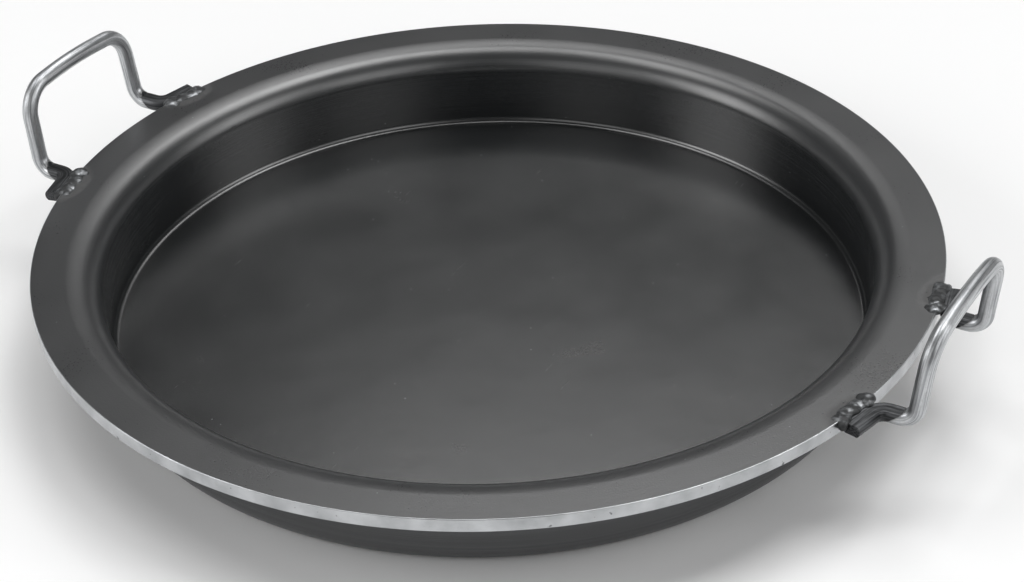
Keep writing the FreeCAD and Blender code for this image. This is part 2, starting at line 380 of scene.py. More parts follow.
        colour = r.add("Mix", {
            0: clouds, 6: linear(self.skin), 7: linear(self.cloud),
        }, out=2, data_type="RGBA")
        # The soot layer paints shade where the welds meet the flange as well as soot.
        layers = ((flange, self.sand), (rubbed, self.rub), (sooted_and_shaded, self.soot_and_shade), (marks, self.speck))
        for share, paint in layers:
            colour = r.add("Mix", {0: share, 6: colour, 7: linear(paint)}, out=2, data_type="RGBA")

        # Smoothest on the floor and wall; grain, rubs, the soot and painted shade round the welds,
        # scratches and the rolled lip add to it.
        roughness = r.add("Math", {
            0: clouds, 1: self.cloud_roughness, 2: self.roughness - self.cloud_roughness / 2.0,
        }, operation="MULTIPLY_ADD")
        grain_share = r.add("MapRange", {
            "Value": flange,
            "To Min": self.grain_roughness_floor, "To Max": self.grain_roughness_flange,
        })
        sanded = r.add("Math", {0: grain, 1: grain_share}, operation="MULTIPLY")
        roughness = r.add("Math", {0: roughness, 1: sanded}, operation="ADD")
        level_out = r.add("Math", {0: 1.0, 1: flange}, operation="SUBTRACT")
        rolled = r.add("MapRange", {
            "Value": radius, "From Min": sheet.lip_start, "From Max": sheet.lip_start + self.roll_mm * MM,
            "To Max": level_out,
        })
        roughened = (
            (rubbed, self.rub_roughness), (sooted_and_shaded, self.soot_and_shade_roughness),
            (scratched, self.scratch_roughness), (rolled, self.roll_roughness),
        )
        for share, more in roughened:
            roughness = r.add("Math", {0: share, 1: more, 2: roughness}, operation="MULTIPLY_ADD")

        swell = r.add("TexNoise", {"Vector": place, "Scale": per_metre(self.cloud_mm / 2.0)})
        sand_share = r.add("MapRange", {"Value": flange, "To Min": self.sand_on_floor, "To Max": 1.0})
        sand_height = r.add("Math", {0: grain, 1: sand_share}, operation="MULTIPLY")
        normal = r.add("Bump", {"Height": swell, "Distance": self.swell_depth_mm * MM})
        for height, depth in ((rings, self.ring_depth_mm), (sand_height, self.sand_depth_mm)):
            normal = r.add("Bump", {"Height": height, "Distance": depth * MM, "Normal": normal})
        shader = r.add("BsdfPrincipled", {
            "Base Color": colour, "Roughness": roughness, "IOR": self.ior, "Normal": normal,
        })
        r.add("OutputMaterial", {"Surface": shader})
        return material


@dataclass(frozen=True)
class TurnedEdge:
    """Bare carbon steel where the disc was turned to size on a lathe.

    The eye gets a bright grey band with fine lines along it, dulled and nicked in places. The
    lines of a lathe's feed are about 0.1 mm apart and are drawn coarser so that they show.
    """

    name: str = "turned_steel_edge"
    steel: str = "c2c4c6"
    dull: str = "949698"
    nick: str = "2a2b2c"
    roughness: float = 0.3
    patch_roughness: float = 0.2
    polish: float = 0.08
    line_mm: float = 0.28
    line_run_mm: float = 22.0
    line_depth_mm: float = 0.04
    nick_mm: float = 3.2
    nick_strength: float = 0.7
    patch_mm: float = 14.0

    def build(self) -> bpy.types.Material:
        """Make the edge's material."""
        material = bpy.data.materials.new(self.name)
        r = Recipe(material)
        place = r.add("TexCoord", {}, out="Object")
        stretch = self.line_mm / self.line_run_mm
        lathe = r.add("Mapping", {"Vector": place, "Scale": (stretch, stretch, 1.0)})
        lines = r.add("TexNoise", {"Vector": lathe, "Scale": per_metre(self.line_mm)})
        patches = r.add("TexNoise", {"Vector": place, "Scale": per_metre(self.patch_mm), "Detail": 4.0})
        pits = r.add("TexNoise", {"Vector": place, "Scale": per_metre(self.nick_mm)})
        dulled = r.add("MapRange", {"Value": patches, "From Min": 0.3, "From Max": 0.8})
        nicked = r.add("MapRange", {
            "Value": pits, "From Min": 0.7, "From Max": 0.76, "To Max": self.nick_strength,
        })
        colour = r.add("Mix", {
            0: dulled, 6: linear(self.steel), 7: linear(self.dull),
        }, out=2, data_type="RGBA")
        colour = r.add("Mix", {0: nicked, 6: colour, 7: linear(self.nick)}, out=2, data_type="RGBA")
        roughness = r.add("Math", {
            0: patches, 1: self.patch_roughness, 2: self.roughness - self.polish,
        }, operation="MULTIPLY_ADD")
        normal = r.add("Bump", {"Height": lines, "Distance": self.line_depth_mm * MM})
        shader = r.add("BsdfPrincipled", {
            "Base Color": colour, "Roughness": roughness, "Metallic": 1.0, "Normal": normal,
        })
        r.add("OutputMaterial", {"Surface": shader})
        return material


@dataclass(frozen=True)
class DrawnRod:
    """Cold-drawn bright steel rod, tumbled after bending, pressed flat and welded at its feet.

    The eye gets a satin silver rod with streaks along it, which turns to grey-black heat scale
    on the pressed feet. The die's streaks are really about 0.1 mm wide and are drawn coarser so
    that they show.
    """

    name: str = "drawn_steel_rod"
    steel: str = "c6c8ca"
    streak: str = "8e9093"
    scale: str = "363738"
    worn_scale: str = "606163"
    tint: str = "73716e"
    roughness: float = 0.4
    streak_roughness: float = 0.16
    scale_roughness: float = 0.06
    scale_ragged: float = 0.5
    tint_strength: float = 0.5
    streak_mm: float = 0.7
    streak_run_mm: float = 22.0
    fleck_mm: float = 1.6
    mark_depth_mm: float = 0.03

    def build(self) -> bpy.types.Material:
        """Make the rod's material."""
        material = bpy.data.materials.new(self.name)
        r = Recipe(material)
        place = r.add("TexCoord", {}, out="Object")
        way = r.add("Attribute", {}, out="Vector", attribute_name="rod_way")
        oxide = r.add("Attribute", {}, out="Fac", attribute_name="oxide")
        drawn = r.add("Mapping", {"Vector": way, "Scale": (1.0, 1.0, self.streak_mm / self.streak_run_mm)})
        streaks = r.add("TexNoise", {"Vector": drawn, "Scale": per_metre(self.streak_mm), "Detail": 3.0})
        flecks = r.add("TexNoise", {"Vector": place, "Scale": per_metre(self.fleck_mm), "Detail": 3.0})
        uneven = r.add("Math", {
            0: flecks, 1: self.scale_ragged, 2: -self.scale_ragged / 2.0,
        }, operation="MULTIPLY_ADD")
        ragged = r.add("Math", {0: oxide, 1: uneven}, operation="ADD")
        streaked = r.add("MapRange", {"Value": streaks, "From Min": 0.42, "From Max": 0.66})
        warmed = r.add("MapRange", {
            "Value": ragged, "From Min": 0.0, "From Max": 0.3, "To Max": self.tint_strength,
        })
        scaled = r.add("MapRange", {"Value": ragged, "From Min": 0.4, "From Max": 0.6})
        colour = r.add("Mix", {
            0: streaked, 6: linear(self.steel), 7: linear(self.streak),
        }, out=2, data_type="RGBA")
        crusted = r.add("Mix", {
            0: streaked, 6: linear(self.scale), 7: linear(self.worn_scale),
        }, out=2, data_type="RGBA")
        for share, paint in ((warmed, linear(self.tint)), (scaled, crusted)):
            colour = r.add("Mix", {0: share, 6: colour, 7: paint}, out=2, data_type="RGBA")
        roughness = r.add("Math", {
            0: streaks, 1: self.streak_roughness, 2: self.roughness - self.streak_roughness / 2.0,
        }, operation="MULTIPLY_ADD")
        roughness = r.add("Math", {
            0: scaled, 1: self.scale_roughness, 2: roughness,
        }, operation="MULTIPLY_ADD")
        normal = r.add("Bump", {"Height": streaks, "Distance": self.mark_depth_mm * MM})
        normal = r.add("Bump", {
            "Height": flecks, "Distance": self.mark_depth_mm * MM, "Normal": normal,
        })
        shader = r.add("BsdfPrincipled", {
            "Base Color": colour, "Roughness": roughness, "Metallic": 1.0, "Normal": normal,
        })
        r.add("OutputMaterial", {"Surface": shader})
        return material


@dataclass(frozen=True)
class WeldMetal:
    """Steel weld metal as laid, under most of its slag, brushed bright only on its high spots.

    The eye gets low dark beads with a few silver smears.
    """

    name: str = "weld_bead_as_laid"
    metal: str = "7d7f81"
    slag: str = "303132"
    roughness: float = 0.34
    slag_roughness: float = 0.2
    slag_metallic: float = 0.4
    slag_mm: float = 4.2
    skin_mm: float = 1.1
    skin_depth_mm: float = 0.05

    def build(self) -> bpy.types.Material:
        """Make the beads' material."""
        material = bpy.data.materials.new(self.name)
        r = Recipe(material)
        place = r.add("TexCoord", {}, out="Object")
        blots = r.add("TexNoise", {"Vector": place, "Scale": per_metre(self.slag_mm), "Detail": 3.0})
        slag = r.add("MapRange", {"Value": blots, "From Min": 0.36, "From Max": 0.54})
        colour = r.add("Mix", {
            0: slag, 6: linear(self.metal), 7: linear(self.slag),
        }, out=2, data_type="RGBA")
        metallic = r.add("MapRange", {"Value": slag, "To Min": 1.0, "To Max": self.slag_metallic})
        roughness = r.add("Math", {
            0: slag, 1: self.slag_roughness, 2: self.roughness,
        }, operation="MULTIPLY_ADD")
        crust = r.add("TexNoise", {"Vector": place, "Scale": per_metre(self.skin_mm), "Detail": 3.0})
        normal = r.add("Bump", {"Height": crust, "Distance": self.skin_depth_mm * MM})
        shader = r.add("BsdfPrincipled", {
            "Base Color": colour, "Roughness": roughness, "Metallic": metallic, "Normal": normal,
        })
        r.add("OutputMaterial", {"Surface": shader})
        return material


@dataclass(frozen=True)
class PaleFloor:
    """Matt white studio board, smooth, with no pattern of its own."""

    name: str = "white_studio_board"
    board: str = "f6f6f6"
    roughness: float = 0.9

    def build(self) -> bpy.types.Material:
        """Make the board's material."""
        material = bpy.data.materials.new(self.name)
        r = Recipe(material)
        shader = r.add("BsdfPrincipled", {
            "Base Color": linear(self.board), "Roughness": self.roughness,
        })
        r.add("OutputMaterial", {"Surface": shader})
        return material


# ---------------------------------------------------------------- the pan's sheet

@dataclass
class PanSheet:
    """The pan itself: one round sheet with a flat floor, a wall and a flat flange.

    The flange rolls into the lip through an eased corner, the ease, and then the lip's own.
    """

    gauge_mm: float = 6.3
    flange_width_mm: float = 31.5
    wall_flare_mm: float = 2.0
    lip_start_mm: float = 1.0
    lip_radius_mm: float = 12.0
    ease_reach_mm: float = 12.5
    ease_turn: float = 12.0
    ease_radius_mm: float = 30.0
    under_lip_radius_mm: float = 7.2
    heel_radius_mm: float = 3.0
    rim_break_mm: float = 0.4
    edge_band_mm: float = 0.44
    foot_angle: float = 13.5
    turns: int = 320
    arc_step_mm: float = 0.7
    least_steps: int = 4
    crease_radians: float = 0.5

    def __post_init__(self) -> None:
        """Take the rim, the depth and the radii in metres from the CAD sheet's box."""
        low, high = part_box("pan_body")
        self.rim = high.x
        self.top = high.z
        self.base = low.z
        self.gauge = self.gauge_mm * MM
        self.lip = self.rim - self.flange_width_mm * MM
        self.heel = self.lip - self.wall_flare_mm * MM
        self.lip_start = self.lip - self.lip_start_mm * MM
        self.flange_start = self.lip + self.ease_reach_mm * MM
        angle = math.radians(self.foot_angle)
        self.foot_place = (self.rim * math.cos(angle), self.rim * math.sin(angle), 0.0)

    def outline(self) -> list[tuple[float, float, float]]:
        """List the section's corners from the middle of the floor round to the underside's middle.

        Returns:
            Radius, height and rounding radius of each corner, in metres.
        """
        slope = (self.lip - self.heel) / (self.top - self.gauge)
        offset = self.gauge * math.sqrt(1.0 + slope * slope)
        under_lip = self.lip - slope * self.gauge + offset
        under_heel = self.heel - slope * self.gauge + offset
        lip_round = self.lip_radius_mm * MM
        heel_round = self.heel_radius_mm * MM
        rim_round = self.rim_break_mm * MM
        fall = math.tan(math.radians(self.ease_turn))
        drop = self.ease_reach_mm * MM * fall / (1.0 - slope * fall)
        return [
            (0.0, self.gauge, 0.0),
            (self.heel, self.gauge, heel_round),
            (self.lip - slope * drop, self.top - drop, lip_round),
            (self.flange_start, self.top, self.ease_radius_mm * MM),
            (self.rim, self.top, rim_round),
            (self.rim, self.top - self.gauge, rim_round),
            (under_lip, self.top - self.gauge, self.under_lip_radius_mm * MM),
            (under_heel, self.base, heel_round + self.gauge),
            (0.0, self.base, 0.0),
        ]

    def build(self, skin: bpy.types.Material, edge: bpy.types.Material) -> bpy.types.Object:
        """Round the section's corners, spin it and dress it.

        Args:
            skin: finish of the faces.
            edge: finish of the turned rim.

        Returns:
            The finished piece.
        """
        shape = bmesh.new()
        corners = self.outline()
        verts = [shape.verts.new((radius, 0.0, height)) for radius, height, _ in corners]
        for first, second in zip(verts, verts[1:]):
            shape.edges.new((first, second))
        for index in range(1, len(corners) - 1):
            before, here, after = (Vector(corners[index + step][:2]) for step in (-1, 0, 1))
            half_turn = (here - before).angle(after - here) / 2.0
            radius = corners[index][2]
            steps = max(self.least_steps, round(2.0 * half_turn * radius / (self.arc_step_mm * MM)))
            round_corner(shape, verts[index], radius * math.tan(half_turn), steps)
        spin_outline(shape, self.turns, TOUCHING)
        bmesh.ops.recalc_face_normals(shape, faces=shape.faces)
        smooth_but_creases(shape, self.crease_radians)
        for face in shape.faces:
            middle = face.calc_center_median()
            out = math.hypot(middle.x, middle.y)
            face.material_index = 1 if out > self.rim - self.edge_band_mm * MM else 0
        piece = place_piece("pan_sheet", shape, [skin, edge])
        flats = piece.modifiers.new("flat_faces_stay_flat", "WEIGHTED_NORMAL")
        flats.mode = "FACE_AREA"
        flats.keep_sharp = True
        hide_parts("pan_body")
        return piece


# ---------------------------------------------------------------- handles

@dataclass
class RodHandle:
    """One bail handle: a round rod bent to a hoop, with its two feet pressed flat.

    Each foot is pressed between a roof, which ends at a shoulder below the leg, and a bed. The
    oxide fields say how far up the rod the heat of welding blackened it.
    """

    side: Side
    tilt_mm: float
    finish: bpy.types.Material
    sheet: PanSheet
    rod_mm: float = 7.5
    leg_spacing_mm: float = 78.0
    leg_inset_mm: float = 1.0
    leg_reach_mm: float = 18.0
    leg_lean_mm: float = 5.0
    rise_mm: float = 38.8
    bow_mm: float = 2.95
    bow_radius_mm: float = 260.0
    grip_bend_mm: float = 15.0
    foot_bend_mm: float = 7.5
    tab_gauge_mm: float = 5.4
    tab_width_mm: float = 9.0
    tab_length_mm: float = 19.0
    tab_turn_mm: float = 7.0
    root_gap_mm: float = 0.2
    shoulder_mm: float = 5.0
    shoulder_end_mm: float = 4.1
    shoulder_slope: float = 3.6
    bed_end_mm: float = 9.0
    bed_slope: float = 0.3
    press_mark_mm: float = 0.12
    press_mark_scale: float = 0.35
    oxide_start_mm: float = 4.2
    oxide_lag_mm: float = 9.0
    oxide_edge_mm: float = 2.0
    oxide_rise_mm: float = 6.0
    end_break_mm: float = 0.5
    end_dome_mm: float = 0.15
    step_mm: float = 0.5
    ring_points: int = 48
    crease: float = 24.0

    def __post_init__(self) -> None:
        """Take the foot's level and the legs' distance from the sheet, in millimetres."""
        self.level = (self.sheet.top - self.sheet.gauge / 2.0) / MM
        self.leg_out = self.sheet.rim / MM + self.leg_reach_mm

    def corners(self) -> list[tuple[Vector, float]]:
        """List the rod's corners with their bend radii, in millimetres, for a handle along +X.

        Returns:
            Corner and bend radius pairs from the rear tab's cut end to the front one's.
        """
        sheet = self.sheet
        rim = sheet.rim / MM
        half = self.leg_spacing_mm / 2.0
        angle = math.radians(sheet.foot_angle)
        out = Vector((math.cos(angle), math.sin(angle), 0.0))
        along = Vector((-math.sin(angle), math.cos(angle), 0.0))
        tangent = out * (rim + self.root_gap_mm + self.tab_width_mm / 2.0)
        corner = tangent + along * ((half - tangent.y) / along.y)
        end = corner + along * self.tab_length_mm
        facing = math.cos(math.radians(self.side.value))
        feet = []
        for foot in (Foot.REAR, Foot.FRONT):
            lift = -facing * self.tilt_mm * foot.value
            leg = Vector((self.leg_out, half, 0.0))
            top = leg + Vector((self.leg_lean_mm, -self.leg_inset_mm, self.rise_mm + lift))
            run = [
                (end, 0.0), (corner, self.tab_turn_mm), (leg, self.foot_bend_mm), (top, self.grip_bend_mm),
            ]
            feet.append([
                (Vector((spot.x, spot.y * foot.value, spot.z + self.level)), bend)
                for spot, bend in run
            ])
        rear, front = feet
        crown = (rear[-1][0] + front[-1][0]) / 2.0 + Vector((0.0, 0.0, self.bow_mm))
        return rear + [(crown, self.bow_radius_mm)] + front[::-1]

    def route(self) -> list[Vector]:
        """Walk the rod's centreline in even steps.

        Returns:
            Points in millimetres.
        """
        corners = self.corners()
        points = [corners[0][0]]
        start = corners[0][0]
        for (before, _), (here, bend), (after, _) in zip(corners, corners[1:], corners[2:]):
            arrive = (here - before).normalized()
            leave = (after - here).normalized()
            turn = arrive.angle(leave)
            trim = bend * math.tan(turn / 2.0)
            first = here - arrive * trim
            axis = arrive.cross(leave).normalized()
            centre = first + axis.cross(arrive).normalized() * bend
            self.walk(points, start, first)
            steps = max(2, round(bend * turn / self.step_mm))
            for step in range(1, steps + 1):
                points.append(centre + Quaternion(axis, turn * step / steps) @ (first - centre))
            start = points[-1]
        self.walk(points, start, corners[-1][0])
        return points

    def walk(self, points: list[Vector], start: Vector, end: Vector) -> None:
        """Add even steps from start to end, without start itself.

        Args:
            points: list that grows.
            start: where the run starts.
            end: where it ends.
        """
        steps = max(1, round((end - start).length / self.step_mm))
        points.extend(start.lerp(end, step / steps) for step in range(1, steps + 1))

    def headings(self, route: list[Vector]) -> tuple[list[Vector], list[Vector]]:
        """Find which way the rod runs and which way is up across it, all along its route.

        The up directions turn as little as they can from step to step, and what they lack of
        upright at the far end is spread along the rod.

        Args:
            route: points of the centreline.

        Returns:
            The rod's direction and its up direction at each point.
        """
        last = len(route) - 1
        tangents = [
            (route[min(index + 1, last)] - route[max(index - 1, 0)]).normalized()
            for index in range(len(route))
        ]
        normal = UP.copy()
        normals = []
        for before, tangent in zip([tangents[0]] + tangents, tangents):
            normal = before.rotation_difference(tangent) @ normal
            normals.append(normal.copy())
        twist = normals[-1].angle(UP) * (1 if normals[-1].cross(UP).dot(tangents[-1]) > 0 else -1)
        uprights = [
            Quaternion(tangent, twist * (index / last)) @ normal
            for index, (tangent, normal) in enumerate(zip(tangents, normals))
        ]
        return tangents, uprights

    def next_ring(
        self,
        shape: bmesh.types.BMesh,
        edges: list[bmesh.types.BMEdge],
        ring: dict[bmesh.types.BMVert, float],
    ) -> tuple[list[bmesh.types.BMEdge], dict[bmesh.types.BMVert, float]]:
        """Extrude the rod's open end by one ring, still in the same place.

        Args:
            shape: the rod's bmesh.
            edges: edges of its open end.
            ring: the open end's vertices, with their angles round the rod.

        Returns:
            The same two for the new open end.
        """
        made = bmesh.ops.extrude_edge_only(shape, edges=edges)["geom"]
        fresh = [item for item in made if isinstance(item, bmesh.types.BMVert)]
        known = set(fresh)
        new_edges = [
            item for item in made
            if isinstance(item, bmesh.types.BMEdge) and all(vert in known for vert in item.verts)
        ]
        new_ring = {}
        for vert in fresh:
            partner = next(
                edge.other_vert(vert) for edge in vert.link_edges if edge.other_vert(vert) in ring
            )
            new_ring[vert] = ring[partner]
        return new_edges, new_ring

    def pressed(self, x: float) -> float:
        """Share of pressing at this distance out from the pan's axis, 1 on the flat foot."""
        inner = self.leg_out - self.foot_bend_mm
        share = min(1.0, max(0.0, (x - inner) / self.foot_bend_mm))
        return 1.0 - share * share * (3.0 - 2.0 * share)

    def press(self, spot: Vector) -> Vector:
        """Flatten a point of the rod's skin between the press's roof and its bed.

        Args:
            spot: the point on the round rod, in millimetres. It is changed.

        Returns:
            The point on the pressed rod.
        """
        half_gauge = self.tab_gauge_mm / 2.0
        if spot.x < self.leg_out - self.shoulder_end_mm and spot.z > self.level:
            past_shoulder = max(0.0, spot.x - (self.leg_out - self.shoulder_mm))
            roof = self.level + half_gauge + past_shoulder * self.shoulder_slope
            roof += self.press_mark_mm * noise.noise(spot * self.press_mark_scale)
            spot.z = min(spot.z, roof)
        if spot.x < self.leg_out and spot.z < self.level:
            past_bed = max(0.0, spot.x - (self.leg_out - self.bed_end_mm))
            bed = self.level - half_gauge - past_bed * self.bed_slope
            spot.z = max(spot.z, bed)
        return spot

    def oxide(self, spot: Vector, angle: float) -> float:
        """Say how much heat scale a point of the rod's skin carries.

        Args:
            spot: the point, in millimetres.
            angle: its angle round the rod. The scale reaches less far along the underside.

        Returns:
            0 on bright rod to 1 on the scaled foot.
        """
        lag = self.oxide_lag_mm * (1.0 - math.sin(angle)) / 2.0
        inward = (self.leg_out - self.oxide_start_mm - lag - spot.x) / self.oxide_edge_mm + 0.5
        downward = (self.level + self.oxide_rise_mm - spot.z) / self.oxide_edge_mm
        return max(0.0, min(1.0, inward, downward))

    def build(self) -> bpy.types.Object:
        """Draw the rod along its route, press its feet and dress it.

        Returns:
            The finished piece.
        """
        route = self.route()
        tangents, uprights = self.headings(route)
        radius = self.rod_mm / 2.0
        turned = Matrix.Rotation(math.radians(self.side.value), 4, "Z")

        shape = bmesh.new()
        way_layer = shape.verts.layers.float_vector.new("rod_way")
        oxide_layer = shape.verts.layers.float.new("oxide")
        bmesh.ops.create_circle(shape, cap_ends=False, segments=self.ring_points, radius=1.0)
        ring = {vert: math.atan2(vert.co.y, vert.co.x) for vert in shape.verts}
        first_edges = edges = list(shape.edges)
        travelled = 0.0
        for index, (point, tangent, upright) in enumerate(zip(route, tangents, uprights)):
            if index:
                travelled += (point - route[index - 1]).length
                edges, ring = self.next_ring(shape, edges, ring)
            across = tangent.cross(upright).normalized()
            width = 1.0 + self.pressed(point.x) * (self.tab_width_mm / self.rod_mm - 1.0)
            for vert, angle in ring.items():
                aside, above = math.cos(angle) * radius, math.sin(angle) * radius
                offset = across * (aside * width) + upright * above
                spot = self.press(point + offset)
                vert.co = turned @ (spot * MM)
                vert[way_layer] = (aside * MM, above * MM, travelled * MM)
                vert[oxide_layer] = self.oxide(spot, angle)
        for loop in (first_edges, edges):
            cap = bmesh.ops.contextual_create(shape, geom=loop)["faces"]
            bmesh.ops.inset_region(
                shape, faces=cap, thickness=self.end_break_mm * MM, depth=-self.end_dome_mm * MM
            )
        bmesh.ops.recalc_face_normals(shape, faces=shape.faces)
        smooth_but_creases(shape, math.radians(self.crease))
        side = self.side.name.lower()
        piece = place_piece(f"rod_handle_{side}", shape, [self.finish])
        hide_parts(f"handle_{side}")
        return piece


# ---------------------------------------------------------------- weld beads

@dataclass(frozen=True)
class Puddle:
    """One flattened drop of weld metal, in millimetres from the middle of a foot on the rim's edge.

    Out is away from the pan's axis, along is towards the tab's cut end, and up is from the
    flange's top. Squash is the drop's height as a share of its width.
    """

    out: float
    along: float
    up: float
    radius: float
    squash: float = 0.8


@dataclass
class WeldBead:
    """One lump or run of weld metal, made of overlapping puddles."""

    node: str
    finish: bpy.types.Material
    puddles: list[Puddle]
    foot_frame: Matrix
    lateral: float
    seed: int
    fineness: int = 3
    voxel_mm: float = 0.28
    settle_share: float = 0.6
    settle_rounds: int = 8
    ripple_mm: float = 2.0
    ripple_shift: float = 3.1
    rough_mm: float = 0.2

    def build(self) -> bpy.types.Object:
        """Melt the puddles into one skin, roughen it and dress it.

        Returns:
            The finished piece.
        """
        shape = bmesh.new()
        for puddle in self.puddles:
            spot = Vector((puddle.out, puddle.along * self.lateral, puddle.up)) * MM
            size = Matrix.Diagonal((1.0, 1.0, puddle.squash, 1.0))
            bmesh.ops.create_icosphere(
                shape,
                subdivisions=self.fineness,
                radius=puddle.radius * MM,
                matrix=Matrix.Translation(self.foot_frame @ spot) @ size,
            )
        piece = place_piece(f"bead_{self.node.removeprefix('weld_')}", shape, [self.finish])
        melt = piece.modifiers.new("melt", "REMESH")
        melt.mode = "VOXEL"
        melt.voxel_size = self.voxel_mm * MM
        settle = piece.modifiers.new("settle", "SMOOTH")
        settle.factor = self.settle_share
        settle.iterations = self.settle_rounds
        bpy.context.view_layer.update()
        evaluated = piece.evaluated_get(bpy.context.evaluated_depsgraph_get())
        melted = bpy.data.meshes.new_from_object(evaluated)
        piece.modifiers.clear()
        old = piece.data
        piece.data = melted
        bpy.data.meshes.remove(old)
        melted.name = piece.name
        skin = bmesh.new()
        skin.from_mesh(melted)
        skin.normal_update()
        shift = Vector((self.seed * self.ripple_shift, 0.0, 0.0))
        for vert in skin.verts:
            ripple = noise.noise(vert.co * per_metre(self.ripple_mm) + shift)
            vert.co += vert.normal * (ripple * self.rough_mm * MM)
        smooth_but_creases(skin, math.pi)
        skin.to_mesh(melted)
        skin.free()
        if not melted.materials:
            melted.materials.append(self.finish)
        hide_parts(self.node)
        return piece


@dataclass
class FootWelds:
    """The three beads that hold one of a handle's feet to the rim, with their spatter."""

    side: Side
    foot: Foot
    finish: bpy.types.Material
    sheet: PanSheet
    seed: int
    seam_radius_mm: float = 3.4
    seam_length_mm: float = 9.0
    seam_overrun: float = 0.8
    seam_puddles: int = 6
    seam_size: tuple[float, float] = (0.72, 0.96)
    seam_swell: float = 1.25
    seam_out_mm: tuple[float, float] = (-2.2, -1.2)
    seam_up_mm: float = -0.35
    seam_squash: float = 0.36
    tack_radius_mm: float = 3.8
    toe_radius_mm: float = 4.0
    tab_start_mm: float = 11.4
    tab_end_mm: float = 7.6
    spatter: int = 3
    spatter_inward_mm: tuple[float, float] = (2.5, 9.0)
    spatter_along_mm: tuple[float, float] = (-13.0, 10.0)
    spatter_up_mm: float = 0.05
    spatter_radius_mm: tuple[float, float] = (0.35, 0.6)

    def seam(self, draw: random.Random) -> list[Puddle]:
        """Lay a row of flat puddles along the top of the rim and the tab.

        Args:
            draw: source of the row's unevenness.

        Returns:
            The row's puddles.
        """
        length = self.seam_length_mm + self.seam_radius_mm * self.seam_overrun
        row = []
        for index in range(self.seam_puddles):
            along = (index / (self.seam_puddles - 1) - 0.5) * length
            radius = self.seam_radius_mm * draw.uniform(*self.seam_size) * self.seam_swell
            out = draw.uniform(*self.seam_out_mm)
            row.append(Puddle(out, along, self.seam_up_mm, radius, self.seam_squash))
        return row

    def tack(self) -> list[Puddle]:
        """Heap three puddles where the foot turns into the tab."""
        start = -self.tab_start_mm
        return [
            Puddle(-self.tack_radius_mm / 3.0, start, -0.3, self.tack_radius_mm, 0.46),
            Puddle(-3.4, start + 0.8, -0.3, 2.9, 0.42),
            Puddle(0.4, start + 2.4, -0.2, 3.2, 0.48),
        ]

    def toe(self) -> list[Puddle]:
        """Heap three puddles over the tab's cut end."""
        end = self.tab_end_mm
        return [
            Puddle(-0.4, end - 1.0, -0.8, self.toe_radius_mm, 0.45),
            Puddle(-2.2, end + 0.6, -0.5, 2.8, 0.42),
            Puddle(1.4, end + 1.4, -2.0, 2.2, 1.0),
        ]

    def throw_spatter(self, puddles: list[Puddle], draw: random.Random) -> None:
        """Add small drops thrown on the flange near the foot.

        Args:
            puddles: the bead's list, which grows.
            draw: source of the drops' places and sizes.
        """
        for _ in range(self.spatter):
            inward = draw.uniform(*self.spatter_inward_mm)
            along = draw.uniform(*self.spatter_along_mm)
            radius = draw.uniform(*self.spatter_radius_mm)
            puddles.append(Puddle(-inward, along, self.spatter_up_mm, radius))

    def build(self) -> list[bpy.types.Object]:
        """Lay the foot's seam, tack and toe.

        Returns:
            The three pieces.
        """
        lateral = self.foot.value * math.cos(math.radians(self.side.value))
        turn = math.radians(self.side.value + lateral * self.sheet.foot_angle)
        foot_frame = (
            Matrix.Rotation(turn, 4, "Z") @ Matrix.Translation((self.sheet.rim, 0.0, self.sheet.top))
        )
        draw = random.Random(self.seed)
        beads = {"seam": self.seam(draw), "tack": self.tack(), "toe": self.toe()}
        for part in ("tack", "toe"):
            self.throw_spatter(beads[part], draw)
        stem = f"weld_{self.side.name.lower()}_{self.foot.name.lower()}"
        pieces = []
        for step, (part, puddles) in enumerate(beads.items()):
            seed = self.seed * len(beads) + step
            bead = WeldBead(f"{stem}_{part}", self.finish, puddles, foot_frame, lateral, seed)
            pieces.append(bead.build())
        return pieces


# ---------------------------------------------------------------- studio

@dataclass
class Softbox:
    """One rectangular white light, aimed at the pan: angles in degrees, sizes in metres, watts."""

    name: str
    azimuth: float
    elevation: float
    distance: float
    width: float
    height: float
    power: float

    def build(self, target: Vector) -> None:
        """Hang the light and aim it.

        Args:
            target: point that the light faces.
        """
        out = outward(self.azimuth, self.elevation)
        data = bpy.data.lights.new(self.name, "AREA")
        data.shape = "RECTANGLE"
        data.size = self.width
        data.size_y = self.height
        data.energy = self.power
        lamp = bpy.data.objects.new(self.name, data)
        lamp.location = target + out * self.distance
        lamp.rotation_euler = (-out).to_track_quat("-Z", "Y").to_euler()
        bpy.context.scene.collection.objects.link(lamp)


